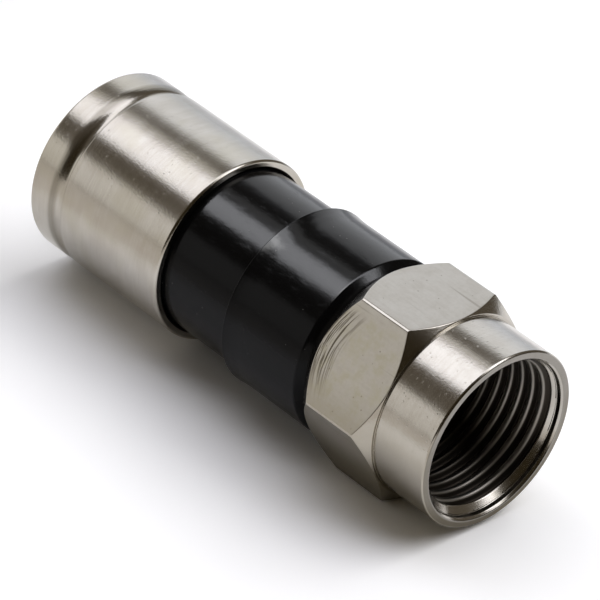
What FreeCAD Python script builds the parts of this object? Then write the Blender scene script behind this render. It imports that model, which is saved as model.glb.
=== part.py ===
import FreeCAD, Part
import os
import Sketcher

# Compression F connector for coaxial cable, lying on its side, in millimetres.
# +X is the connector's axis and points out of the nut's mouth, +Z is up.
# The origin is the centre of the post's front face, where a mating socket seats.
# Each piece is turned about X and sketched from its own rear end, as (station, radius).

SIZES = [
    # The nut: a hexagon at the rear, a round collar in front of it.
    ("face_depth", 6.6, "mouth of the nut to the post's front face"),
    ("collar_len", 3.8, "round collar in front of the hexagon"),
    ("hex_flats", 11.1, "across the flats"),
    ("corner_cut", 0.04, "turned off each sharp corner, on radius"),
    ("hex_rear_slope", 1.2, "rear chamfer, length for each unit of radius"),
    ("hex_front_slope", 0.87, "front chamfer, length for each unit of radius"),
    ("hex_rim_inset", 0.03, "chamfers start this far inside the flats"),
    ("collar_wall", 0.62, "collar over the thread's major diameter"),
    ("collar_bevel", 0.1, "outer edge of the mouth"),
    ("thread_major", 9.525, "3/8 inch thread, major diameter"),
    ("thread_height", 0.3825, "roots to crests of the internal thread"),
    ("pilot_clearance", 0.04, "smooth bore over the major diameter, on radius"),
    ("pilot_len", 0.4, "smooth bore between the mouth and the thread's lead-in"),
    ("mouth_chamfer", 0.14, "inner edge of the mouth"),
    ("relief_len", 0.5, "thread run-out in front of the post's face"),
    ("web_len", 0.78, "wall of the nut that the post's flange holds"),
    # The post: the inner tube, pressed into the body through the nut.
    ("post_len", 18.8, "front face to rear end"),
    ("post_bore", 4.8, "bore for the cable's dielectric"),
    ("post_wall", 0.45, "wall of the rear tube"),
    ("flange_len", 0.95, "thickness of the front flange"),
    ("flange_clearance", 0.23, "flange inside the thread's crests, on radius"),
    ("flange_chamfer", 0.15, "front edge of the flange"),
    ("shank_wall", 0.7, "wall where the post is pressed into the body"),
    ("shank_len", 4.7, "length pressed into the body"),
    ("neck_step", 0.25, "neck over the shank, on radius"),
    ("barb_height", 0.3, "barb over the rear tube, on radius"),
    ("barb_len", 1.1, "barb's slope towards the rear end"),
    ("barb_land", 0.25, "cylindrical top of the barb"),
    ("post_end_wall", 0.2, "wall at the rear edge of the post"),
    # The seal: a rubber ring in the nut's rear counterbore.
    ("seal_section", 0.9, "side of the ring's square section"),
    ("seal_bevel", 0.18, "cut off the corners of the section"),
    ("seal_clearance", 0.06, "gap all round the ring"),
    # The body: a moulded tube with a shoulder that stops the sleeve.
    ("front_len", 6.37, "thick front section, shoulder to front face"),
    ("skirt_len", 1.9, "tapered rear end"),
    ("waist_wall", 1.13, "wall of the narrow section"),
    ("shoulder_step", 0.445, "sharp step at the shoulder, on radius"),
    ("shoulder_fall", 0.08, "gentle fall in front of the step, on radius"),
    ("shoulder_run", 1.05, "length of the gentle fall"),
    ("front_chamfer", 0.62, "bevel at the front face"),
    ("skirt_wall", 0.38, "wall at the rear edge of the skirt"),
    ("cavity_dia", 7.9, "space for the cable's jacket"),
    ("cavity_cone", 0.5, "cone at the bottom of the cavity"),
    ("grip_place", 0.7, "rear edge of the skirt to the first grip groove"),
    ("grip_pitch", 0.85, "one grip groove to the next"),
    ("grip_depth", 0.18, "grip groove, on radius"),
    ("grip_len", 0.5, "grip groove, over its edges"),
    ("grip_count", 3, "grip grooves in the cavity"),
    # The compression sleeve: slides forward over the body.
    ("sleeve_len", 10.85, "rear rim to front lip"),
    ("sleeve_wall", 0.53, "wall in front of the ramp"),
    ("sleeve_gap", 5.36, "front lip to the body's shoulder, at rest"),
    ("entry_clearance", 0.2, "opening over the body's cavity, on radius"),
    ("entry_len", 1.0, "cylindrical part of the opening"),
    ("ramp_len", 2.6, "inner ramp that closes the skirt"),
    ("entry_chamfer", 0.25, "outer edge of the opening"),
    ("lip_chamfer", 0.12, "inner edge of the front lip"),
    ("lip_bevel", 0.1, "outer edge of the front lip"),
    ("rear_bevel", 0.15, "outer edge of the rear rim"),
    ("groove_place", 1.6, "rear rim to the groove"),
    ("groove_len", 1.1, "groove, over its edges"),
    ("groove_depth", 0.2, "groove, on radius"),
    ("groove_slope", 0.75, "sloped rear wall of the groove"),
    ("groove_floor", 0.3, "flat bottom of the groove"),
    # Fits between the pieces.
    ("nut_gap", 0.3, "nut's rear face to the body's front face"),
    ("web_play", 0.05, "flange to the nut's web, along the axis"),
    ("stop_gap", 0.08, "sleeve's lip to the shoulder, pushed home"),
    ("skirt_seat", 0.78, "skirt's end in front of the ramp's rear, sleeve pushed home"),
    ("spin_clearance", 0.07, "nut on the post's neck, on radius"),
    ("slide_clearance", 0.04, "sleeve on the body, on radius"),
]

# Radii and stations that pieces share, as expressions of the sheet's cells.
POST_BORE_R = "sizes.post_bore / 2"
TUBE_R = f"({POST_BORE_R} + sizes.post_wall)"
SHANK_R = f"({POST_BORE_R} + sizes.shank_wall)"
NECK_R = f"({SHANK_R} + sizes.neck_step)"
CREST_R = "(sizes.thread_major / 2 - sizes.thread_height)"
FLANGE_R = f"({CREST_R} - sizes.flange_clearance)"
PILOT_R = "(sizes.thread_major / 2 + sizes.pilot_clearance)"
COLLAR_R = "(sizes.thread_major / 2 + sizes.collar_wall)"
WEB_BORE_R = f"({NECK_R} + sizes.spin_clearance)"
SEAT_R = f"({NECK_R} + sizes.seal_section + 2 * sizes.seal_clearance)"
CAVITY_R = "sizes.cavity_dia / 2"
WAIST_R = f"({CAVITY_R} + sizes.waist_wall)"
STEP_R = f"({WAIST_R} + sizes.shoulder_step)"
FRONT_R = f"({STEP_R} - sizes.shoulder_fall)"
SLEEVE_BORE_R = f"({WAIST_R} + sizes.slide_clearance)"
SLEEVE_R = f"({SLEEVE_BORE_R} + sizes.sleeve_wall)"
ENTRY_R = f"({CAVITY_R} + sizes.entry_clearance)"

SEAT_DEPTH = "(sizes.seal_section + 2 * sizes.seal_clearance - sizes.nut_gap)"
NUT_REAR_X = f"(0 - sizes.flange_len - sizes.web_play - sizes.web_len - {SEAT_DEPTH})"
NUT_LEN = f"(sizes.face_depth - {NUT_REAR_X})"
HEX_LEN = f"({NUT_LEN} - sizes.collar_len)"
BODY_FRONT_X = f"({NUT_REAR_X} - sizes.nut_gap)"
WAIST_LEN = "(sizes.sleeve_len + sizes.stop_gap - sizes.skirt_len - sizes.entry_len - sizes.skirt_seat)"
BODY_LEN = f"(sizes.skirt_len + {WAIST_LEN} + sizes.front_len)"
BODY_REAR_X = f"({BODY_FRONT_X} - {BODY_LEN})"
SHOULDER_X = f"({BODY_FRONT_X} - sizes.front_len)"
SLEEVE_REAR_X = f"({SHOULDER_X} - sizes.sleeve_gap - sizes.sleeve_len)"
NECK_LEN = f"(0 - {BODY_FRONT_X} - sizes.flange_len)"

doc = FreeCAD.newDocument("f_connector")
sheet = doc.addObject("Spreadsheet::Sheet", "sizes")
for row, (alias, value, note) in enumerate(SIZES, start=1):
    sheet.set(f"A{row}", alias)
    sheet.set(f"B{row}", str(value))
    sheet.setAlias(f"B{row}", alias)
    sheet.set(f"C{row}", note)
doc.recompute()


def size(expression):
    """The present value of an expression of the sheet's cells, in millimetres."""
    return float(sheet.evalExpression(expression))


def new_body(label, rear_x):
    """An empty body whose own origin is on the axis at the piece's rear end."""
    body = doc.addObject("PartDesign::Body", label)
    body.Label = label
    body.setExpression(".Placement.Base.x", rear_x)
    return body


def new_sketch(body, name, role):
    """A sketch on one of the body's own origin planes."""
    plane = next(item for item in body.Origin.OriginFeatures if item.Role == role)
    sketch = body.newObject("Sketcher::SketchObject", name)
    sketch.AttachmentSupport = [(plane, "")]
    sketch.MapMode = "FlatFace"
    return sketch


def place_point(sketch, line, end, axis, expression):
    """Ties one coordinate of a line's end to an expression, or to the sketch's axis at zero."""
    if expression == "0":
        sketch.addConstraint(Sketcher.Constraint("PointOnObject", line, end, -2 if axis == "X" else -1))
        return
    kind = "Distance" + axis
    number = sketch.addConstraint(Sketcher.Constraint(kind, -1, 1, line, end, size(expression)))
    name = f"{axis.lower()}{line}"
    sketch.renameConstraint(number, name)
    sketch.setExpression(f"Constraints.{name}", expression)


def closed_profile(body, name, points):
    """A closed outline on the XY plane through (station, radius) points, each given by expressions."""
    sketch = new_sketch(body, name, "XY_Plane")
    spots = [FreeCAD.Vector(size(station), size(radius), 0) for station, radius in points]
    count = len(spots)
    for index, spot in enumerate(spots):
        sketch.addGeometry(Part.LineSegment(spot, spots[(index + 1) % count]), False)
    for index in range(count):
        sketch.addConstraint(Sketcher.Constraint("Coincident", index, 2, (index + 1) % count, 1))
    for index, (station, radius) in enumerate(points):
        place_point(sketch, index, 1, "X", station)
        place_point(sketch, index, 1, "Y", radius)
    return sketch


def turned(body, name, points, cut=False):
    """Revolves an outline about the axis, as material or as a cut, and checks that it took effect."""
    before = 0.0 if body.Tip is None else body.Shape.Volume
    feature = body.newObject("PartDesign::Groove" if cut else "PartDesign::Revolution", name)
    feature.Profile = closed_profile(body, name + "_profile", points)
    feature.ReferenceAxis = (feature.Profile[0], ["H_Axis"])
    feature.Angle = 360
    feature.Profile[0].Visibility = False
    doc.recompute()
    after = body.Shape.Volume
    if (after < before) != cut or abs(after - before) < 1e-6:
        raise RuntimeError(f"{name} changed nothing")
    return feature


def circle_edges(feature, station, radius):
    """Names of the feature's round edges at a station and radius of its own body."""
    names = []
    for number, edge in enumerate(feature.Shape.Edges, start=1):
        curve = edge.Curve
        if not isinstance(curve, Part.Circle):
            continue
        if abs(curve.Radius - size(radius)) < 1e-4 and abs(curve.Center.x - size(station)) < 1e-4:
            names.append(f"Edge{number}")
    if not names:
        raise RuntimeError(f"no round edge on {feature.Name} at {station}")
    return names


def beveled(body, name, base, station, radius, bevel):
    """Bevels the outer edge found at a station and radius."""
    feature = body.newObject("PartDesign::Chamfer", name)
    feature.Base = (base, circle_edges(base, station, radius))
    feature.setExpression("Size", bevel)
    doc.recompute()
    return feature


def repeated(body, name, feature, pitch, count):
    """Repeats a turned cut along the axis."""
    pattern = body.newObject("PartDesign::LinearPattern", name)
    pattern.Originals = [feature]
    pattern.Direction = (feature.Profile[0], ["H_Axis"])
    pattern.setExpression("Length", f"{pitch} * ({count} - 1)")
    pattern.setExpression("Occurrences", count)
    body.Tip = pattern
    doc.recompute()
    return pattern


def padded_hexagon(body, name, flats, length):
    """A hexagonal bar along the axis, one flat down and one up."""
    sketch = new_sketch(body, name + "_outline", "YZ_Plane")
    half = size(f"{flats} / 2")
    corner = half / 0.8660254037844386
    steps = [FreeCAD.Rotation(FreeCAD.Vector(0, 0, 1), 60 * step) for step in range(6)]
    spots = [turn.multVec(FreeCAD.Vector(corner, 0, 0)) for turn in steps]
    for index, spot in enumerate(spots):
        sketch.addGeometry(Part.LineSegment(spot, spots[(index + 1) % 6]), False)
    guide = sketch.addGeometry(Part.Circle(FreeCAD.Vector(0, 0, 0), FreeCAD.Vector(0, 0, 1), corner), True)
    for index in range(6):
        sketch.addConstraint(Sketcher.Constraint("Coincident", index, 2, (index + 1) % 6, 1))
    for index in range(5):
        sketch.addConstraint(Sketcher.Constraint("Equal", index, index + 1))
    for index in range(6):
        sketch.addConstraint(Sketcher.Constraint("PointOnObject", index, 1, guide))
    sketch.addConstraint(Sketcher.Constraint("Coincident", guide, 3, -1, 1))
    sketch.addConstraint(Sketcher.Constraint("Horizontal", 1))
    number = sketch.addConstraint(Sketcher.Constraint("DistanceY", 4, 1, 1, 1, 2 * half))
    sketch.renameConstraint(number, "flats")
    sketch.setExpression("Constraints.flats", flats)
    pad = body.newObject("PartDesign::Pad", name)
    pad.Profile = sketch
    pad.setExpression("Length", length)
    sketch.Visibility = False
    doc.recompute()
    return pad


def make_nut():
    """The coupling nut: hexagonal bar with turned ends, collar, thread bore, web and seal seat."""
    body = new_body("coupling_nut", NUT_REAR_X)
    padded_hexagon(body, "hexagon", "sizes.hex_flats", HEX_LEN)
    turned(body, "collar", [("0", "0"), ("0", COLLAR_R), (NUT_LEN, COLLAR_R), (NUT_LEN, "0")])

    # The corners are turned to a diameter, and both ends of the hexagon to cones.
    outside = "sizes.hex_flats"
    corner_r = f"(sizes.hex_flats / 2 / cos(30) - sizes.corner_cut)"
    rim_r = "(sizes.hex_flats / 2 - sizes.hex_rim_inset)"
    reach = f"({outside} - {rim_r})"
    turned(body, "corner_cut", [
        ("0", corner_r), ("0", outside), (HEX_LEN, outside), (HEX_LEN, corner_r)], cut=True)
    turned(body, "rear_chamfer", [
        ("0", rim_r), ("0", outside), (f"sizes.hex_rear_slope * {reach}", outside)], cut=True)
    turned(body, "front_chamfer", [
        (HEX_LEN, rim_r), (HEX_LEN, outside),
        (f"{HEX_LEN} - sizes.hex_front_slope * {reach}", outside)], cut=True)

    # Inside, from the rear: seal seat, web, thread run-out, thread, lead-in cone, smooth pilot, mouth.
    web_front = f"({SEAT_DEPTH} + sizes.web_len)"
    thread_rear = f"({NUT_LEN} - sizes.face_depth + sizes.relief_len)"
    pilot_rear = f"({NUT_LEN} - sizes.pilot_len)"
    thread_front = f"({pilot_rear} - ({PILOT_R} - {CREST_R}))"
    bore = turned(body, "bores", [
        ("0", "0"), ("0", SEAT_R), (SEAT_DEPTH, SEAT_R), (SEAT_DEPTH, WEB_BORE_R), (web_front, WEB_BORE_R),
        (web_front, PILOT_R), (thread_rear, PILOT_R), (thread_rear, CREST_R), (thread_front, CREST_R),
        (pilot_rear, PILOT_R), (f"({NUT_LEN} - sizes.mouth_chamfer)", PILOT_R),
        (NUT_LEN, f"({PILOT_R} + sizes.mouth_chamfer)"), (NUT_LEN, "0")], cut=True)
    beveled(body, "mouth_bevel", bore, NUT_LEN, COLLAR_R, "sizes.collar_bevel")
    return body


def make_post():
    """The post: rear edge, barb, thin tube, pressed shank, neck for the nut and front flange."""
    body = new_body("center_post", "0 - sizes.post_len")
    end_r = f"({POST_BORE_R} + sizes.post_end_wall)"
    barb_r = f"({TUBE_R} + sizes.barb_height)"
    flange_rear = "(sizes.post_len - sizes.flange_len)"
    neck_rear = f"({flange_rear} - {NECK_LEN})"
    shank_rear = f"({neck_rear} - sizes.shank_len)"
    barb_front = "(sizes.barb_len + sizes.barb_land)"
    turned(body, "tube", [
        ("0", POST_BORE_R), ("0", end_r), ("sizes.barb_len", barb_r), (barb_front, barb_r),
        (barb_front, TUBE_R), (shank_rear, TUBE_R), (shank_rear, SHANK_R), (neck_rear, SHANK_R),
        (neck_rear, NECK_R), (flange_rear, NECK_R), (flange_rear, FLANGE_R),
        ("(sizes.post_len - sizes.flange_chamfer)", FLANGE_R),
        ("sizes.post_len", f"({FLANGE_R} - sizes.flange_chamfer)"), ("sizes.post_len", POST_BORE_R)])
    return body


def make_seal():
    """The weather seal: a square-cut rubber ring round the post's neck, between the body and the nut."""
    body = new_body("seal_ring", f"{BODY_FRONT_X} + sizes.seal_clearance")
    inner = f"({NECK_R} + sizes.seal_clearance)"
    outer = f"({inner} + sizes.seal_section)"
    front = "sizes.seal_section"
    bevel = "sizes.seal_bevel"
    turned(body, "ring", [
        (bevel, inner), ("0", f"({inner} + {bevel})"), ("0", f"({outer} - {bevel})"), (bevel, outer),
        (f"({front} - {bevel})", outer), (front, f"({outer} - {bevel})"), (front, f"({inner} + {bevel})"),
        (f"({front} - {bevel})", inner)])
    return body


def make_body():
    """The moulded body: tapered skirt, waist, shoulder, thick front section and cable cavity."""
    body = new_body("connector_body", BODY_REAR_X)
    waist = "sizes.skirt_len"
    shoulder = f"(sizes.skirt_len + {WAIST_LEN})"
    bottom = f"({BODY_LEN} - sizes.shank_len)"
    turned(body, "moulding", [
        ("0", CAVITY_R), ("0", f"({CAVITY_R} + sizes.skirt_wall)"), (waist, WAIST_R), (shoulder, WAIST_R),
        (shoulder, STEP_R), (f"({shoulder} + sizes.shoulder_run)", FRONT_R),
        (f"({BODY_LEN} - sizes.front_chamfer)", FRONT_R), (BODY_LEN, f"({FRONT_R} - sizes.front_chamfer)"),
        (BODY_LEN, SHANK_R), (bottom, SHANK_R), (f"({bottom} - sizes.cavity_cone)", CAVITY_R)])

    # Grip grooves inside the skirt, which bite on the cable's jacket.
    within = f"({CAVITY_R} - sizes.grip_depth)"
    groove = turned(body, "grip_groove", [
        ("sizes.grip_place", within), ("sizes.grip_place", CAVITY_R),
        ("(sizes.grip_place + sizes.grip_len / 2)", f"({CAVITY_R} + sizes.grip_depth)"),
        ("(sizes.grip_place + sizes.grip_len)", CAVITY_R),
        ("(sizes.grip_place + sizes.grip_len)", within)], cut=True)
    repeated(body, "grip_grooves", groove, "sizes.grip_pitch", "sizes.grip_count")
    return body


def make_sleeve():
    """The compression sleeve: entry bore, inner ramp, long bore, groove near the rear, beveled lips."""
    body = new_body("compression_sleeve", SLEEVE_REAR_X)
    ramp_front = "(sizes.entry_len + sizes.ramp_len)"
    floor_rear = "(sizes.groove_place + sizes.groove_slope)"
    floor_r = f"({SLEEVE_R} - sizes.groove_depth)"
    tube = turned(body, "tube", [
        ("0", f"({ENTRY_R} + sizes.entry_chamfer)"), ("0", SLEEVE_R), ("sizes.groove_place", SLEEVE_R),
        (floor_rear, floor_r), (f"({floor_rear} + sizes.groove_floor)", floor_r),
        ("(sizes.groove_place + sizes.groove_len)", SLEEVE_R), ("sizes.sleeve_len", SLEEVE_R),
        ("sizes.sleeve_len", f"({SLEEVE_BORE_R} + sizes.lip_chamfer)"),
        ("(sizes.sleeve_len - sizes.lip_chamfer)", SLEEVE_BORE_R), (ramp_front, SLEEVE_BORE_R),
        ("sizes.entry_len", ENTRY_R), ("sizes.entry_chamfer", ENTRY_R)])
    front = beveled(body, "front_lip", tube, "sizes.sleeve_len", SLEEVE_R, "sizes.lip_bevel")
    beveled(body, "rear_rim", front, "0", SLEEVE_R, "sizes.rear_bevel")
    return body


pieces = [make_nut(), make_post(), make_seal(), make_body(), make_sleeve()]
doc.recompute()

for item in doc.Objects:
    if "Invalid" in item.State or "Error" in item.State:
        raise RuntimeError(f"{item.Label} failed to build")

os.makedirs("parts", exist_ok=True)
for piece in pieces:
    if piece.Shape.isNull() or not piece.Shape.isValid():
        raise RuntimeError(f"{piece.Label} has no valid shape")
    piece.Shape.exportStep(f"parts/{piece.Label}.step")
    print(piece.Label, round(piece.Shape.Volume, 3))
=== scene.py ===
"""Compression F connector for coaxial cable: its looks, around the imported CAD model.

Metres. +X runs along the connector's axis and out of the nut's mouth, +Z is up, and the origin is the
centre of the post's front face. Every piece is turned about X, so its mesh is a closed profile of
(station, radius) corners in millimetres, carried once round the axis. On the nut the profile depends on
the angle too, and its bore carries a true thread.
"""
import math

import bpy
import numpy as np
from mathutils import Matrix, Vector


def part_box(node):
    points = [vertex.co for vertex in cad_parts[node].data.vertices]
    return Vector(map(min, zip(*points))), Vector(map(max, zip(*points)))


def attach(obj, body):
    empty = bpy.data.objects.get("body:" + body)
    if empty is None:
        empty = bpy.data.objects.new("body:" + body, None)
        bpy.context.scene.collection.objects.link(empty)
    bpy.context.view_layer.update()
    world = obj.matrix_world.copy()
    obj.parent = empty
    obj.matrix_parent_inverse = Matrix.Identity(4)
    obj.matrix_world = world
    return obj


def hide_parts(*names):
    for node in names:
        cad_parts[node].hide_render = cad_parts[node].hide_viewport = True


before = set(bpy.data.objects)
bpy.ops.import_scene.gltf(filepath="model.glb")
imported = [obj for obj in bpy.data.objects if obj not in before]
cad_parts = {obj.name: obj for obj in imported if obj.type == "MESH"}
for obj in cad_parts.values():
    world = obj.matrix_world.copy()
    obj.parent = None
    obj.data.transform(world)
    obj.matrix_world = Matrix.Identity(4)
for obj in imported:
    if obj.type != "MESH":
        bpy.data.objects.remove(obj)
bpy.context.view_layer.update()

MM = 0.001


def reach(node):
    """Rear station, front station and largest radius of a CAD node, in millimetres."""
    low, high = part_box(node)
    return low[0] / MM, high[0] / MM, high[2] / MM


# Sizes in millimetres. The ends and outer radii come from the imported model.
SLEEVE_REAR, SLEEVE_FRONT, SLEEVE_R = reach("compression_sleeve")
BODY_REAR, BODY_FRONT, BODY_R = reach("connector_body")
POST_REAR, POST_FRONT, FLANGE_R = reach("center_post")
SEAL_REAR, SEAL_FRONT, SEAL_R = reach("seal_ring")
NUT_REAR, MOUTH, HALF_FLATS = reach("coupling_nut")

# Sleeve
SLEEVE_BORE_R = 5.12
ENTRY_R = 4.15
ENTRY_LENGTH = 1.0
ENTRY_CHAMFER = 0.25
RAMP_FRONT = 3.6
REAR_BEVEL = 0.15
LIP_CHAMFER = 0.12
LIP_BEVEL = 0.1
GROOVE_DEPTH = 0.2
GROOVE_FRONT = 2.72
GROOVE_FLOOR = (2.42, 2.68)
GROOVE_SLOPE = ((2.28, 0.165), (2.12, 0.095), (1.93, 0.040), (1.73, 0.010), (1.50, 0.0))

# Body
WAIST_R = 5.08
SHOULDER = BODY_FRONT - 6.37
SHOULDER_FALL = 0.08
SHOULDER_CURVE = ((1.05, 0.0, 0.4), (0.5, 0.026, 0.3), (0.14, 0.060, 0.12))
FRONT_R = BODY_R - SHOULDER_FALL
FRONT_BEVEL = 0.62
SKIRT_LENGTH = 1.9
SKIRT_WALL = 0.38
CAVITY_R = 3.95
CAVITY_CONE = 0.5
GRIP_COUNT = 3
GRIP_PLACE = 0.7
GRIP_PITCH = 0.85
GRIP_LENGTH = 0.5
GRIP_DEPTH = 0.18

# Post
POST_BORE_R = 2.4
TUBE_R = 2.85
SHANK_R = 3.1
SHANK_LENGTH = 4.7
NECK_R = 3.35
BARB_LENGTH = 1.1
BARB_TOP = 0.25
BARB_HEIGHT = 0.3
POST_END_WALL = 0.2
FLANGE_REAR = -0.95
FLANGE_CHAMFER = 0.15

# Nut
HEX_FRONT = MOUTH - 3.8
CORNER_R = HALF_FLATS / math.cos(math.radians(30)) - 0.045
RIM_R = HALF_FLATS - 0.03
REAR_SLOPE = 1.2
FRONT_SLOPE = 0.87
THREAD_MAJOR_R = 9.525 / 2
THREAD_CREST_R = 4.38
THREAD_PITCH = 25.4 / 32
FLAT_CREST = 0.24
FLAT_ROOT = 0.06
FLANK_BOW = 0.06
THREAD_REAR = 0.5
RUN_OUT_SLOPE = 1.7
COLLAR_R = THREAD_MAJOR_R + 0.62
COLLAR_BEVEL = 0.1
PILOT_R = THREAD_MAJOR_R + 0.04
PILOT_REAR = MOUTH - 0.4
THREAD_FRONT = PILOT_REAR - 0.03
MOUTH_CHAMFER = 0.14
WEB_BORE_R = 3.42
WEB_FRONT = -1.0
SEAT_R = 4.37
SEAT_FRONT = -1.78

# Fineness of the meshes. The shares are those of the shorter of the two runs that meet in a corner.
CORNER_STEPS = 3
LARGEST_EASING_SHARE = 0.36
GUARD = 0.05
LARGEST_GUARD_SHARE = 0.12
ROUND_COLUMNS = 384
COLUMNS_PER_SIXTH = 64
ROWS_PER_TURN = 14


# Shapes

def round_about():
    """Angles of the nut's columns round the axis, from the top towards -Y, in radians.

    Each sixth of a turn has one corner of the hexagon in its middle. Across a sixth, with u from -1 to 1,
    the angle from the corner is 30 degrees times (0.3 u + 0.7 u cubed), so the columns crowd there.
    """
    steps = np.arange(COLUMNS_PER_SIXTH) / COLUMNS_PER_SIXTH * 2 - 1
    across = 30 * (0.3 * steps + 0.7 * steps ** 3)
    corners = 30 + 60 * np.arange(6)
    return np.radians((corners[:, None] + across[None, :]).ravel())


def eased(corners, easing, closed=True):
    """Rounds the corners of profiles.

    corners has one row for each corner and one column for each angle, as (station, radius). Each corner
    is replaced by a parabola between the two points that lie its easing before and after it, and a
    guard point is set beyond each of these, so that the straight runs stay straight when they are shaded.
    """
    corners = np.asarray(corners, float)
    before = np.roll(corners, 1, axis=0)
    after = np.roll(corners, -1, axis=0)
    length_in = np.linalg.norm(corners - before, axis=2, keepdims=True)
    length_out = np.linalg.norm(after - corners, axis=2, keepdims=True)
    way_in = (corners - before) / length_in
    way_out = (after - corners) / length_out
    shorter = np.minimum(length_in, length_out)
    cut = np.minimum(np.asarray(easing, float)[:, None, None], LARGEST_EASING_SHARE * shorter)
    guard = np.minimum(GUARD, LARGEST_GUARD_SHARE * shorter)
    start = corners - way_in * cut
    end = corners + way_out * cut
    rows = [start - way_in * guard]
    for t in np.linspace(0, 1, CORNER_STEPS + 1):
        rows.append((1 - t) ** 2 * start + 2 * t * (1 - t) * corners + t ** 2 * end)
    rows.append(end + way_out * guard)
    rows = np.stack(rows, axis=1)
    if closed:
        return rows.reshape(-1, *corners.shape[1:])
    inner = rows[1:-1].reshape(-1, *corners.shape[1:])
    return np.concatenate([corners[:1], inner, corners[-1:]])


def turned_points(profile, angles):
    """Places (station, radius) profiles round the axis: x, -radius sin(angle), radius cos(angle)."""
    station, radius = profile[..., 0], profile[..., 1]
    return np.stack([station, -radius * np.sin(angles), radius * np.cos(angles)], axis=-1)


def grid_faces(rows, columns, closed_rows):
    """Four-sided faces of a grid that closes round its columns, and over its rows if asked."""
    last = rows if closed_rows else rows - 1
    row, column = np.meshgrid(np.arange(last), np.arange(columns), indexing="ij")
    next_row = (row + 1) % rows
    next_column = (column + 1) % columns
    corners = [row * columns + column, next_row * columns + column,
               next_row * columns + next_column, row * columns + next_column]
    return np.stack(corners, axis=-1).reshape(-1, 4)


def make_piece(name, points, faces, material, body, node):
    """A smooth mesh object that rides on a body and stands for a CAD node. Its faces look outwards.

    The sum of a . (b x c) over the triangles is six times the volume, so a negative one turns the faces.
    """
    points = points.reshape(-1, 3) * MM
    quads = np.asarray(faces)
    a, b, c, d = (points[quads[:, k]] for k in range(4))
    volume = np.einsum("ij,ij->i", a, np.cross(b, c)).sum()
    volume += np.einsum("ij,ij->i", a, np.cross(c, d)).sum()
    if volume < 0:
        quads = quads[:, ::-1]
    polygons = [list(dict.fromkeys(face)) for face in quads.tolist()]
    mesh = bpy.data.meshes.new(name)
    mesh.from_pydata(points.tolist(), [], polygons)
    mesh.shade_smooth()
    mesh.materials.append(material)
    piece = bpy.data.objects.new(name, mesh)
    bpy.context.scene.collection.objects.link(piece)
    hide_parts(node)
    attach(piece, body)
    return piece


def turned_piece(name, corners, material, body, node):
    """A ring-shaped piece from corners of (station, radius, easing) round its closed profile."""
    corners = np.array(corners, float)
    profile = eased(corners[:, None, :2], corners[:, 2])
    angles = np.arange(ROUND_COLUMNS) / ROUND_COLUMNS * 2 * math.pi
    profile = np.broadcast_to(profile, (len(profile), ROUND_COLUMNS, 2))
    points = turned_points(profile, angles[None, :])
    faces = grid_faces(len(profile), ROUND_COLUMNS, True)
    return make_piece(name, points, faces, material, body, node)


def thread_radius(station, angles):
    """Radius of the internal thread.

    Along the axis the profile repeats every pitch and moves one pitch for each turn. A flat crest and a
    narrower flat root are joined by flanks that are slightly S-shaped. A cone opens the thread at the
    front and another at the rear run-out.
    """
    turns = station / THREAD_PITCH - angles / (2 * math.pi)
    off_crest = np.abs(turns - np.round(turns)) * 2
    rise = np.clip((off_crest - FLAT_CREST) / (1 - FLAT_ROOT - FLAT_CREST), 0, 1)
    flank = rise - FLANK_BOW * np.sin(2 * math.pi * rise)
    radius = THREAD_CREST_R + (THREAD_MAJOR_R - THREAD_CREST_R) * flank
    front = PILOT_R - (PILOT_REAR - station)
    rear = PILOT_R - (station - THREAD_REAR) * RUN_OUT_SLOPE
    return np.maximum(radius, np.maximum(front, rear))


def thread_patch(angles, front_row, rear_row, first_free):
    """The threaded bore between two rings of points that exist already.

    Rows follow the thread: each stands one step further along the axis, and every row moves forward one
    pitch in a turn, so row i at the end of a turn is row i + ROWS_PER_TURN at its start. Points that
    would pass a ring are that ring's own point, and faces that lose their area to this are left out.
    """
    columns = len(angles)
    step = THREAD_PITCH / ROWS_PER_TURN
    count = int(math.ceil((THREAD_FRONT - THREAD_REAR) / step)) + ROWS_PER_TURN + 2
    row = np.arange(count)[:, None] - ROWS_PER_TURN
    station = THREAD_REAR + (row * step + THREAD_PITCH * angles[None, :] / (2 * math.pi))
    number = first_free + np.arange(count * columns).reshape(count, columns)
    column = np.arange(columns)[None, :]
    number = np.where(station <= THREAD_REAR + 0.2 * step, rear_row + column, number)
    number = np.where(station >= THREAD_FRONT - 0.2 * step, front_row + column, number)
    inside = np.clip(station, THREAD_REAR, THREAD_FRONT)
    profile = np.stack([inside, thread_radius(inside, angles[None, :])], axis=-1)
    closing = np.full((count, 1), front_row)
    closing[:count - ROWS_PER_TURN, 0] = number[ROWS_PER_TURN:, 0]
    number = np.concatenate([number, closing], axis=1)
    faces = np.stack([number[:-1, :-1], number[1:, :-1], number[1:, 1:], number[:-1, 1:]], axis=-1)
    faces = faces.reshape(-1, 4)
    different = 1 + (np.diff(np.sort(faces, axis=1), axis=1) != 0).sum(axis=1)
    return turned_points(profile, angles[None, :]), faces[different >= 3]


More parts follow.
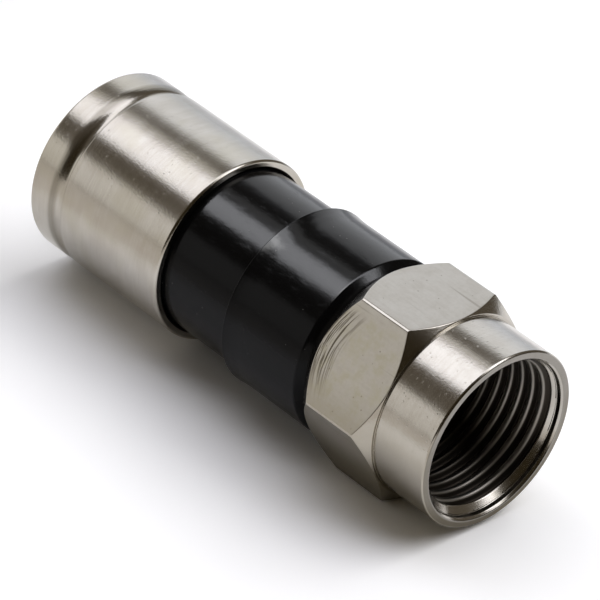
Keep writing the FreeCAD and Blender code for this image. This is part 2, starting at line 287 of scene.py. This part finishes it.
def make_nut(material):
    """The coupling nut: one profile for each angle, with the radius of the hexagon as it is there."""
    angles = round_about()
    off_flat = np.abs((np.degrees(angles) + 30) % 60 - 30)
    hexagon = np.minimum(HALF_FLATS / np.cos(np.radians(off_flat)), CORNER_R)
    level = np.ones_like(angles)
    beyond = hexagon - RIM_R
    corners = [
        (THREAD_FRONT, PILOT_R - (PILOT_REAR - THREAD_FRONT), 0.0),
        (PILOT_REAR, PILOT_R, 0.02),
        (MOUTH - MOUTH_CHAMFER, PILOT_R, 0.03),
        (MOUTH, PILOT_R + MOUTH_CHAMFER, 0.03),
        (MOUTH, COLLAR_R - COLLAR_BEVEL, 0.03),
        (MOUTH - COLLAR_BEVEL, COLLAR_R, 0.03),
        (HEX_FRONT, COLLAR_R, 0.02),
        (HEX_FRONT, RIM_R, 0.03),
        (HEX_FRONT - FRONT_SLOPE * beyond, hexagon, 0.03),
        (NUT_REAR + REAR_SLOPE * beyond, hexagon, 0.03),
        (NUT_REAR, RIM_R, 0.04),
        (NUT_REAR, SEAT_R, 0.05),
        (SEAT_FRONT, SEAT_R, 0.03),
        (SEAT_FRONT, WEB_BORE_R, 0.04),
        (WEB_FRONT, WEB_BORE_R, 0.04),
        (WEB_FRONT, PILOT_R, 0.05),
        (THREAD_REAR, PILOT_R, 0.0),
    ]
    stations = np.array([station * level for station, _, _ in corners])
    radii = np.array([radius * level for _, radius, _ in corners])
    easing = [ease for _, _, ease in corners]
    profile = eased(np.stack([stations, radii], axis=-1), easing, closed=False)
    skin = turned_points(profile, angles[None, :])
    rows, columns = profile.shape[:2]
    threads, thread_faces = thread_patch(angles, 0, (rows - 1) * columns, rows * columns)
    points = np.concatenate([skin.reshape(-1, 3), threads.reshape(-1, 3)])
    faces = np.concatenate([grid_faces(rows, columns, False), thread_faces[:, ::-1]])
    used = np.unique(faces)
    renumbered = np.zeros(len(points), int)
    renumbered[used] = np.arange(len(used))
    return make_piece("nut_shell", points[used], renumbered[faces], material,
                      "nut", "coupling_nut")


def make_sleeve(material):
    """The compression sleeve: groove near the rear, plain tube, beveled lips, ramp inside."""
    rear, front, outer = SLEEVE_REAR, SLEEVE_FRONT, SLEEVE_R
    floor = outer - GROOVE_DEPTH
    return turned_piece("sleeve_shell", [
        (front, SLEEVE_BORE_R + LIP_CHAMFER, 0.03),
        (front, outer - LIP_BEVEL, 0.04),
        (front - LIP_BEVEL, outer, 0.05),
        (rear + GROOVE_FRONT, outer, 0.05),
        (rear + GROOVE_FLOOR[1], floor, 0.03),
        (rear + GROOVE_FLOOR[0], floor, 0.08),
        *[(rear + place, outer - depth, 0.06) for place, depth in GROOVE_SLOPE],
        (rear + REAR_BEVEL, outer, 0.06),
        (rear, outer - REAR_BEVEL, 0.06),
        (rear, ENTRY_R + ENTRY_CHAMFER, 0.05),
        (rear + ENTRY_CHAMFER, ENTRY_R, 0.05),
        (rear + ENTRY_LENGTH, ENTRY_R, 0.05),
        (rear + RAMP_FRONT, SLEEVE_BORE_R, 0.2),
        (front - LIP_CHAMFER, SLEEVE_BORE_R, 0.03),
    ], material, "sleeve", "compression_sleeve")


def make_body(material):
    """The moulded body: tapered skirt with grip grooves inside, waist, shoulder, front section."""
    rear, front = BODY_REAR, BODY_FRONT
    grips = []
    for number in range(GRIP_COUNT):
        place = rear + GRIP_PLACE + GRIP_PITCH * number
        grips += [
            (place, CAVITY_R, 0.02),
            (place + GRIP_LENGTH / 2, CAVITY_R + GRIP_DEPTH, 0.02),
            (place + GRIP_LENGTH, CAVITY_R, 0.02),
        ]
    return turned_piece("body_moulding", [
        (rear, CAVITY_R, 0.03),
        *grips,
        (front - SHANK_LENGTH - CAVITY_CONE, CAVITY_R, 0.1),
        (front - SHANK_LENGTH, SHANK_R, 0.04),
        (front, SHANK_R, 0.04),
        (front, FRONT_R - FRONT_BEVEL, 0.06),
        (front - FRONT_BEVEL, FRONT_R, 0.07),
        *[(SHOULDER + place, FRONT_R + height, easing) for place, height, easing in SHOULDER_CURVE],
        (SHOULDER, BODY_R, 0.06),
        (SHOULDER, WAIST_R, 0.03),
        (rear + SKIRT_LENGTH, WAIST_R, 0.25),
        (rear, CAVITY_R + SKIRT_WALL, 0.06),
    ], material, "housing", "connector_body")


def make_post(material):
    """The post: rear edge, barb, thin tube, shank, neck and front flange."""
    rear = POST_REAR
    return turned_piece("post_tube", [
        (rear, POST_BORE_R, 0.03),
        (rear, POST_BORE_R + POST_END_WALL, 0.03),
        (rear + BARB_LENGTH, TUBE_R + BARB_HEIGHT, 0.04),
        (rear + BARB_LENGTH + BARB_TOP, TUBE_R + BARB_HEIGHT, 0.04),
        (rear + BARB_LENGTH + BARB_TOP, TUBE_R, 0.05),
        (BODY_FRONT - SHANK_LENGTH, TUBE_R, 0.05),
        (BODY_FRONT - SHANK_LENGTH, SHANK_R, 0.05),
        (BODY_FRONT, SHANK_R, 0.05),
        (BODY_FRONT, NECK_R, 0.05),
        (FLANGE_REAR, NECK_R, 0.05),
        (FLANGE_REAR, FLANGE_R, 0.04),
        (-FLANGE_CHAMFER, FLANGE_R, 0.04),
        (POST_FRONT, FLANGE_R - FLANGE_CHAMFER, 0.04),
        (POST_FRONT, POST_BORE_R, 0.08),
    ], material, "housing", "center_post")


def make_seal(material):
    """The weather seal: a square-cut rubber ring with soft corners."""
    inner = SEAL_R - (SEAL_FRONT - SEAL_REAR)
    return turned_piece("weather_seal", [
        (SEAL_REAR, inner, 0.2),
        (SEAL_REAR, SEAL_R, 0.2),
        (SEAL_FRONT, SEAL_R, 0.2),
        (SEAL_FRONT, inner, 0.2),
    ], material, "housing", "seal_ring")


# Finishes

class Flow:
    """What one socket of a node gives. Arithmetic on it adds Math nodes, and node() adds any other."""

    def __init__(self, tree, socket=None):
        self.tree = tree
        self.socket = socket

    def node(self, kind, settings=None, inputs=None, output=0):
        """Adds a node: first its settings, then the values or links of its input sockets."""
        made = self.tree.nodes.new(kind)
        for name, value in (settings or {}).items():
            setattr(made, name, value)
        for key, value in (inputs or {}).items():
            if isinstance(value, Flow):
                self.tree.links.new(value.socket, made.inputs[key])
            else:
                made.inputs[key].default_value = value
        return Flow(self.tree, made.outputs[output] if made.outputs else None)

    def maths(self, operation, *values):
        return self.node("ShaderNodeMath", {"operation": operation}, dict(enumerate(values)))

    def __add__(self, other):
        return self.maths("ADD", self, other)

    def __sub__(self, other):
        return self.maths("SUBTRACT", self, other)

    def __rsub__(self, other):
        return self.maths("SUBTRACT", other, self)

    def __mul__(self, other):
        return self.maths("MULTIPLY", self, other)

    def __pow__(self, other):
        return self.maths("POWER", self, other)

    __radd__ = __add__
    __rmul__ = __mul__

    def size(self):
        return self.maths("ABSOLUTE", self)

    def most(self, other):
        return self.maths("MAXIMUM", self, other)

    def step(self, low, high, start=0.0, end=1.0):
        """A smooth change from start to end while the value goes from low to high."""
        return self.node("ShaderNodeMapRange", {"interpolation_type": "SMOOTHSTEP"},
                         {0: self, 1: low, 2: high, 3: start, 4: end})

    def tint(self, first, second):
        """A colour between two, by this value. Each is three numbers or a flow.

        On a Mix node the sockets 6, 7 and output 2 are those of a colour.
        """
        first, second = (end if isinstance(end, Flow) else (*end, 1.0) for end in (first, second))
        return self.node("ShaderNodeMix", {"data_type": "RGBA"}, {0: self, 6: first, 7: second}, output=2)

    def split(self):
        """The x, y and z of a vector."""
        return [self.node("ShaderNodeSeparateXYZ", inputs={0: self}, output=axis) for axis in range(3)]


class Place(Flow):
    """Where a point of a piece is, in millimetres: x along the axis, y, z, and r from the axis."""

    def __init__(self, tree):
        super().__init__(tree)
        spot = self.node("ShaderNodeTexCoord", output="Object")
        self.socket = self.node("ShaderNodeVectorMath", {"operation": "SCALE"}, {0: spot, 3: 1 / MM}).socket
        self.x, self.y, self.z = self.split()
        self.r = (self.y * self.y + self.z * self.z) ** 0.5

    def spread(self, along, across):
        """The place as a vector, scaled along the axis and across it."""
        return self.node("ShaderNodeCombineXYZ",
                         inputs={0: self.x * along, 1: self.y * across, 2: self.z * across})

    def noise(self, scale, detail=2.0, roughness=0.5, vector=None):
        """Soft noise from 0 to 1 on the place, or on another vector in millimetres."""
        vector = self if vector is None else vector
        inputs = {"Vector": vector, "Scale": scale, "Detail": detail, "Roughness": roughness}
        return self.node("ShaderNodeTexNoise", inputs=inputs)

    def turning_marks(self, across, along):
        """Fine rings left by a turning tool: noise drawn out round the axis, close along the profile."""
        rings = {0: (self.x + self.r) * across, 1: self.y * along, 2: self.z * along}
        return self.noise(1.0, 3.0, 0.6, self.node("ShaderNodeCombineXYZ", inputs=rings))

    def specks(self, scale, size, share):
        """Round dots of a size in cells of 1/scale, on a share of the cells only."""
        cells = {"Vector": self, "Scale": scale}
        away = self.node("ShaderNodeTexVoronoi", inputs=cells, output="Distance")
        chance = self.node("ShaderNodeTexVoronoi", inputs=cells, output="Color")
        chance = self.node("ShaderNodeSeparateColor", inputs={0: chance})
        return away.step(size, size * 0.5) * chance.step(1 - share - 0.01, 1 - share + 0.01)

    def bumped(self, height, depth, base=None):
        """A normal for a height from 0 to 1, which stands for a depth in millimetres."""
        inputs = {"Distance": depth * MM, "Height": height}
        if base is not None:
            inputs["Normal"] = base
        return self.node("ShaderNodeBump", inputs=inputs)


def new_material(name, build):
    """A node material. build takes the place and gives the inputs of its Principled shader."""
    material = bpy.data.materials.new(name)
    material.use_nodes = True
    tree = material.node_tree
    tree.nodes.clear()
    place = Place(tree)
    shader = place.node("ShaderNodeBsdfPrincipled", inputs=build(place))
    place.node("ShaderNodeOutputMaterial", inputs={0: shader})
    return material


# Colours of the nickel, in this order: its two clean tones, olive patches, wear on the flats, painted shade
# in the sleeve's groove, painted shade on the nut's lower side and on its underside, and painted shade deep
# in the thread.
NICKEL_LIGHT = (0.51, 0.485, 0.438)
NICKEL_DARK = (0.42, 0.390, 0.340)
NICKEL_OLIVE = (0.43, 0.400, 0.315)
NICKEL_WORN = (0.12, 0.105, 0.08)
NICKEL_GROOVE_SHADE = (0.10, 0.085, 0.055)
NICKEL_LOWER_SHADE = (0.32, 0.288, 0.225)
NICKEL_UNDER_SHADE = (0.14, 0.112, 0.055)
BORE_SHADE = (0.035, 0.030, 0.024)

PLASTIC_BLACK = (0.0045, 0.0045, 0.005)
PLASTIC_RUBBED = (0.16, 0.16, 0.155)
RUBBER_DARK = (0.010, 0.010, 0.010)
RUBBER_LIGHT = (0.022, 0.022, 0.021)

# Depths of the bumps in the nickel, in millimetres.
FINE_RINGS = 0.0008
COARSE_RINGS = 0.0014
UNEVEN = 0.0022
FLAT_MARKS = 0.0014
FLAT_WEAR = 0.004


def turned_nickel(place):
    """Satin nickel over turned brass: rings from the tool, a patchy tone, specks, painted shade in the
    groove.
    """
    fine = place.turning_marks(9.0, 0.35)
    coarse = place.turning_marks(2.2, 0.5)
    patches = place.noise(0.55, 3.0)
    tone = patches * 0.5 + fine * 0.3 + coarse * 0.2
    dots = place.specks(4.5, 0.28, 0.15)
    normal = place.bumped(fine, FINE_RINGS)
    normal = place.bumped(coarse, COARSE_RINGS, normal)
    normal = place.bumped(place.noise(7.0) * 1.7 + dots * 1.5, UNEVEN, normal)
    olive = place.noise(0.35).step(0.45, 0.65) * 0.35
    plate = olive.tint(tone.step(0.3, 0.7).tint(NICKEL_DARK, NICKEL_LIGHT), NICKEL_OLIVE)
    # Painted shade in the groove: darker on its rear slope and, by half, in its front corner.
    from_rim = place.x - SLEEVE_REAR
    slope = from_rim.step(1.45, 1.75) * from_rim.step(2.25, 1.90)
    corner = from_rim.step(2.44, 2.56) * from_rim.step(2.74, 2.68)
    groove_shade = slope.most(corner * 0.5) * 0.45
    return {
        "Base Color": groove_shade.tint(plate, NICKEL_GROOVE_SHADE),
        "Metallic": 1.0,
        "Roughness": 0.14 + fine * 0.07 + patches * 0.04,
        "Normal": normal,
    }


def bar_nickel(place):
    """The nut: turned nickel, with drawn flats that carry lengthwise scratches, chatter and small pits, and
    painted shade on its lower side, underneath and in its bore.
    """
    # The distance from the axis, measured square to the nearest pair of flats.
    cosine = math.cos(math.radians(30))
    side_one = place.y * cosine + place.z * 0.5
    side_two = place.y * cosine - place.z * 0.5
    apothem = place.z.size().most(side_one.size()).most(side_two.size())
    on_flat = apothem.step(HALF_FLATS - 0.012, HALF_FLATS - 0.004) * place.x.step(HEX_FRONT + 0.02, HEX_FRONT)
    turned = 1 - on_flat
    skin = place.r.step(PILOT_R + 0.15, PILOT_R + 0.25)

    fine = place.turning_marks(9.0, 0.35)
    coarse = place.turning_marks(2.2, 0.5)
    patches = place.noise(0.6, 3.0)
    mottled = place.noise(1.5, 4.0, 0.6)
    grain = place.noise(5.0, 3.0, 0.6)
    drawn = place.noise(1.0, 3.0, 0.6, place.spread(0.25, 5.0))
    marks = on_flat * (drawn * 0.5 + grain * 0.5) + turned * (fine * 0.5 + 0.25)

    # Wear on the flats: pits, scratches, and chatter that follows the curved rear edge of the upper ones.
    pits = place.specks(2.6, 0.15, 0.35)
    scratch = place.noise(1.0, 1.0, 0.5, place.spread(0.10, 2.6)).step(0.69, 0.73)
    from_edge = place.x - (place.r - RIM_R) * REAR_SLOPE - NUT_REAR
    lines = {0: from_edge * 9.0, 1: place.y * 0.4, 2: place.z * 0.4}
    chatter = place.noise(1.0, vector=place.node("ShaderNodeCombineXYZ", inputs=lines))
    chatter = chatter.step(0.48, 0.58) * from_edge.step(1.6, 0.6)
    chatter = chatter * place.z.step(HALF_FLATS - 0.5, HALF_FLATS - 1.2) * place.z.step(0.2, 2.6)
    worn = on_flat * (pits * 0.5 + scratch * 0.3 + chatter * 1.4)

    tone = (patches * 0.3 + mottled * 0.3 + marks * 0.4 - worn * 0.5).step(0.30, 0.65)
    off_top = place.z.step(HALF_FLATS - 0.1, HALF_FLATS - 0.9)
    olive = on_flat * mottled.step(0.40, 0.68) * off_top * 0.9
    plate = olive.tint(tone.tint(NICKEL_DARK, NICKEL_LIGHT), NICKEL_OLIVE)
    # Painted shade: the outside of the nut darkens towards its lower side, and more underneath.
    plate = (skin * place.z.step(2.2, 0.0) * 0.6).tint(plate, NICKEL_LOWER_SHADE)
    plate = (skin * place.z.step(-1.2, -4.2) * 0.7).tint(plate, NICKEL_UNDER_SHADE)
    plate = (worn * 0.75).tint(plate, NICKEL_WORN)

    # Painted shade in the bore: the thread is dark, its crests stay bright near the mouth, less so deeper in
    # and on the lower side, and the lead-in cone stays bright. The front face of the mouth gets half of this
    # painted shade.
    outside = place.r.step(PILOT_R + 0.04, PILOT_R + 0.06)
    outside = outside.most(place.x.step(PILOT_REAR - 0.46, PILOT_REAR - 0.40))
    crest = place.r.step(THREAD_CREST_R + 0.15, THREAD_CREST_R + 0.06)
    crest = crest * (place.x - place.z.step(-2.5, -3.9) * 2.2).step(0.0, 3.6)
    unshaded = outside.most(crest * 0.62) * place.x.step(MOUTH - 0.06, MOUTH - 0.02, 1.0, 0.5)

    dots = place.specks(4.5, 0.29, 0.22) * place.x.step(HEX_FRONT, HEX_FRONT + 0.1)
    normal = place.bumped(marks, FLAT_MARKS)
    normal = place.bumped(coarse * skin * turned - worn, FLAT_WEAR, normal)
    normal = place.bumped((place.noise(7.0) * 1.4 + dots * turned * 1.7) * skin, UNEVEN, normal)
    return {
        "Base Color": unshaded.tint(BORE_SHADE, plate),
        "Metallic": 1.0,
        "Roughness": 0.13 + marks * 0.07 + patches * 0.04 + on_flat * 0.11 + (1 - outside) * 0.23,
        "Normal": normal,
    }


def dull_nickel(place):
    """The post: plain nickel plate, less worked than the outside."""
    fine = place.turning_marks(6.0, 0.4)
    patches = place.noise(0.8, 3.0)
    return {
        "Base Color": (patches * 0.6 + fine * 0.4).step(0.3, 0.7).tint(NICKEL_DARK, NICKEL_LIGHT),
        "Metallic": 1.0,
        "Roughness": 0.28 + fine * 0.08,
        "Normal": place.bumped(fine, 0.0016),
    }


def black_plastic(place):
    """Semi-gloss black moulding: faint mould grain, a few pale specks and rub marks."""
    grain = place.noise(9.0)
    swell = place.noise(1.1)
    rubs = place.noise(1.0, 4.0, 0.7, place.spread(1.2, 4.0))
    specks = place.specks(2.4, 0.10, 0.20)
    scuffs = rubs.step(0.66, 0.80)
    normal = place.bumped(grain, 0.0008)
    normal = place.bumped(swell, 0.005, normal)
    normal = place.bumped(rubs, 0.004, normal)
    return {
        "Base Color": (specks * 0.8).most(scuffs * 0.10).tint(PLASTIC_BLACK, PLASTIC_RUBBED),
        "Roughness": 0.13 + grain * 0.04 + rubs.step(0.5, 0.75) * 0.14,
        "IOR": 1.5,
        "Specular IOR Level": 0.10,
        "Normal": normal,
    }


def seal_rubber(place):
    """Matt black rubber with a fine grain."""
    grain = place.noise(14.0, 3.0)
    return {
        "Base Color": grain.tint(RUBBER_DARK, RUBBER_LIGHT),
        "Roughness": 0.55 + grain * 0.15,
        "Normal": place.bumped(grain, 0.003),
    }


make_sleeve(new_material("turned_nickel", turned_nickel))
make_nut(new_material("bar_nickel", bar_nickel))
make_post(new_material("dull_nickel", dull_nickel))
body_moulding = make_body(new_material("black_plastic", black_plastic))
make_seal(new_material("seal_rubber", seal_rubber))


# Floor and room

FLOOR_HALF = 3.0
FLOOR_MATT = (0.86, 0.86, 0.86, 1.0)
FLOOR_WHITE = (1.12, 1.12, 1.12)
# Painted shade on the floor, for the metal to mirror: darker and cooler behind, darker and warmer beside and
# in front.
FLOOR_SHADE_BEHIND = (0.72, 0.745, 0.78)
FLOOR_SHADE_BESIDE = (0.80, 0.76, 0.70)

# The darkest part of the room is on the side of +X and -Y. The far half of the wall is that of +Y. Each
# half has a colour at the floor and one above.
ROOM_DIM = (0.130, 0.110, 0.084)
ROOM_DARKEST = (0.034, 0.025, 0.012)
FAR_WALL = ((0.86, 0.91, 1.01), (1.26, 1.29, 1.36))
NEAR_WALL = ((0.85, 0.825, 0.79), (1.0, 0.975, 0.95))


def make_floor():
    """A flat square under the object, with its own material.

    It is white round the object. Further off it carries painted shade where the metal mirrors it: darker and
    cooler behind, darker and warmer on the -X side and in front. The matt shader lights the object, and the
    other one is seen and mirrored.
    """
    half = FLOOR_HALF
    level = min(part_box(node)[0][2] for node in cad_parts)
    corners = [(-half, -half, level), (half, -half, level), (half, half, level), (-half, half, level)]
    mesh = bpy.data.meshes.new("floor")
    mesh.from_pydata(corners, [], [(0, 1, 2, 3)])
    material = bpy.data.materials.new("pale_floor")
    material.use_nodes = True
    tree = material.node_tree
    tree.nodes.clear()
    flow = Flow(tree)
    x, y = flow.node("ShaderNodeTexCoord", output="Object").split()[:2]
    # Painted shade on the floor where the metal mirrors it: darker patches behind, beside and in front.
    shade_behind = (x * 2.0 - y).step(-0.085, -0.16)
    beside = (x * 0.67 + y * 0.73).step(-0.020, -0.038)
    shade_ahead = (x * 0.478 - y * 0.301).step(0.009, 0.016)
    white_and_shade = beside.most(shade_ahead).tint(shade_behind.tint(FLOOR_WHITE, FLOOR_SHADE_BEHIND), FLOOR_SHADE_BESIDE)
    matt = flow.node("ShaderNodeBsdfDiffuse", inputs={"Color": FLOOR_MATT})
    shown = flow.node("ShaderNodeBsdfDiffuse", inputs={"Color": white_and_shade})
    camera_ray = flow.node("ShaderNodeLightPath", output="Is Camera Ray")
    glossy_ray = flow.node("ShaderNodeLightPath", output="Is Glossy Ray")
    through_ray = flow.node("ShaderNodeLightPath", output="Is Transmission Ray")
    seen = camera_ray.most(glossy_ray).most(through_ray)
    mixed = flow.node("ShaderNodeMixShader", inputs={0: seen, 1: matt, 2: shown})
    flow.node("ShaderNodeOutputMaterial", inputs={0: mixed})
    mesh.materials.append(material)
    floor = bpy.data.objects.new("floor", mesh)
    bpy.context.scene.collection.objects.link(floor)


def make_world():
    """A dim warm room, with a pale wall on its -X side whose top edge rises from -Y to +Y."""
    world = bpy.data.worlds.new("studio")
    world.use_nodes = True
    tree = world.node_tree
    tree.nodes.clear()
    flow = Flow(tree)
    x, y, z = flow.node("ShaderNodeTexCoord", output="Generated").split()
    left = x.step(-0.22, -0.52)
    top_edge = y.step(-0.75, 0.55, 0.47, 0.70)
    wall = left * (top_edge - z).step(0.0, 0.10)
    far_wall = z.step(0.0, 0.5).tint(*FAR_WALL)
    near_wall = z.step(0.0, 0.4).tint(*NEAR_WALL)
    pale = y.step(-0.3, 0.3).tint(near_wall, far_wall)
    dim = (x - y).step(0.2, 0.9).tint(ROOM_DIM, ROOM_DARKEST)
    back = flow.node("ShaderNodeBackground", inputs={0: wall.tint(dim, pale), 1: 1.0})
    flow.node("ShaderNodeOutputWorld", inputs={0: back})
    bpy.context.scene.world = world


# Lamps

# Height of the lamps in metres, and the turn of their long sides from X in degrees.
LAMP_HEIGHT = 0.6
LAMP_TURN = 27.0


def softbox(name, middle, sides, radiance, lowered=1.0, colour=(1.0, 1.0, 1.0), back=(0.0, 0.0, 1.0)):
    """A rectangular lamp over the object. It hangs level unless back gives another way to its back.

    middle is its place along X and Y, and sides are its width and length, all for each unit of
    LAMP_HEIGHT. lowered brings it closer to the object. Its power is pi times its area times its radiance.
    """
    width, length = sides
    lamp = bpy.data.lights.new(name, "AREA")
    lamp.shape = "RECTANGLE"
    lamp.size = length * LAMP_HEIGHT
    lamp.size_y = width * LAMP_HEIGHT
    lamp.energy = math.pi * lamp.size * lamp.size_y * radiance
    lamp.color = colour
    holder = bpy.data.objects.new(name, lamp)
    tilt = Vector(back).to_track_quat("Z", "Y").to_matrix().to_4x4()
    turn = tilt @ Matrix.Rotation(math.radians(LAMP_TURN), 4, "Z")
    holder.matrix_world = Matrix.Translation(Vector((*middle, 1.0)) * LAMP_HEIGHT * lowered) @ turn
    bpy.context.scene.collection.objects.link(holder)
    return holder


def make_lamps():
    """Lamps for all pieces and for the metal, and some for the gloss of the black body only.

    The body's highlights lie elsewhere in the photograph than those of the metal beside it, so its long
    box is another one. A lamp with all_but_body as its collection leaves the body out.
    """
    body_only = bpy.data.collections.new("body_only")
    body_only.objects.link(body_moulding)
    all_but_body = bpy.data.collections.new("all_but_body")
    all_but_body.objects.link(body_moulding)
    all_but_body.collection_objects[0].light_linking.link_state = "EXCLUDE"

    metal_box = softbox("overhead_box", (0.064, 0.211), (0.56, 2.5), 1.85, colour=(1.0, 1.015, 1.11))
    metal_box.light_linking.receiver_collection = all_but_body
    softbox("overhead_edge", (-0.72, 0.24), (0.16, 0.9), 0.7)
    softbox("overhead_end", (0.861, 0.595), (0.78, 0.5), 1.8, 0.98)
    softbox("back_fill", (0.2, 1.0), (1.0, 1.0), 4.0).visible_glossy = False

    body_lamps = [
        softbox("body_box", (0.064, 0.195), (0.39, 2.5), 15.5, 0.97, colour=(0.98, 0.99, 1.04)),
        softbox("body_end", (-0.33, -0.28), (0.40, 0.46), 20.0, 0.965),
        softbox("body_edge", (-0.70, 0.20), (0.16, 0.9), 1.5, 0.97),
        softbox("body_back", (-1.9, 2.5), (2.1, 2.1), 1.2, 0.97, back=(-0.57, 0.75, 0.30)),
    ]
    for lamp in body_lamps:
        lamp.visible_diffuse = False
        lamp.light_linking.receiver_collection = body_only


# Camera

# The way back to the camera, its right side, and what it looks at: a point beside one on the axis.
CAMERA_BACK = Vector((0.5704, -0.6077, 0.5524))
CAMERA_RIGHT = Vector((0.6676, 0.7348, 0.1191))
CAMERA_DISTANCE = 240.9 * MM
MID = Vector((-9.4, 0.0, 0.0)) * MM
AIM_RIGHT = 0.301
AIM_DOWN = 0.261
SENSOR = 36.0
FRAME_PIXELS = 600
FOCAL_PIXELS = 4404


def make_camera():
    """A long lens above and in front of the mouth, rolled as the photograph is."""
    back = CAMERA_BACK.normalized()
    right = (CAMERA_RIGHT - back * CAMERA_RIGHT.dot(back)).normalized()
    up = back.cross(right)
    aim = MID + (AIM_RIGHT * right - AIM_DOWN * up) * MM
    data = bpy.data.cameras.new("camera")
    data.sensor_fit = "HORIZONTAL"
    data.sensor_width = SENSOR
    data.lens = FOCAL_PIXELS / FRAME_PIXELS * SENSOR
    data.clip_start = 0.01
    data.clip_end = 20.0
    camera = bpy.data.objects.new("camera", data)
    placed = Matrix((right, up, back)).transposed().to_4x4()
    placed.translation = aim + back * CAMERA_DISTANCE
    camera.matrix_world = placed
    bpy.context.scene.collection.objects.link(camera)
    bpy.context.scene.camera = camera


make_floor()
make_world()
make_lamps()
make_camera()
bpy.context.scene.view_settings.view_transform = "Standard"
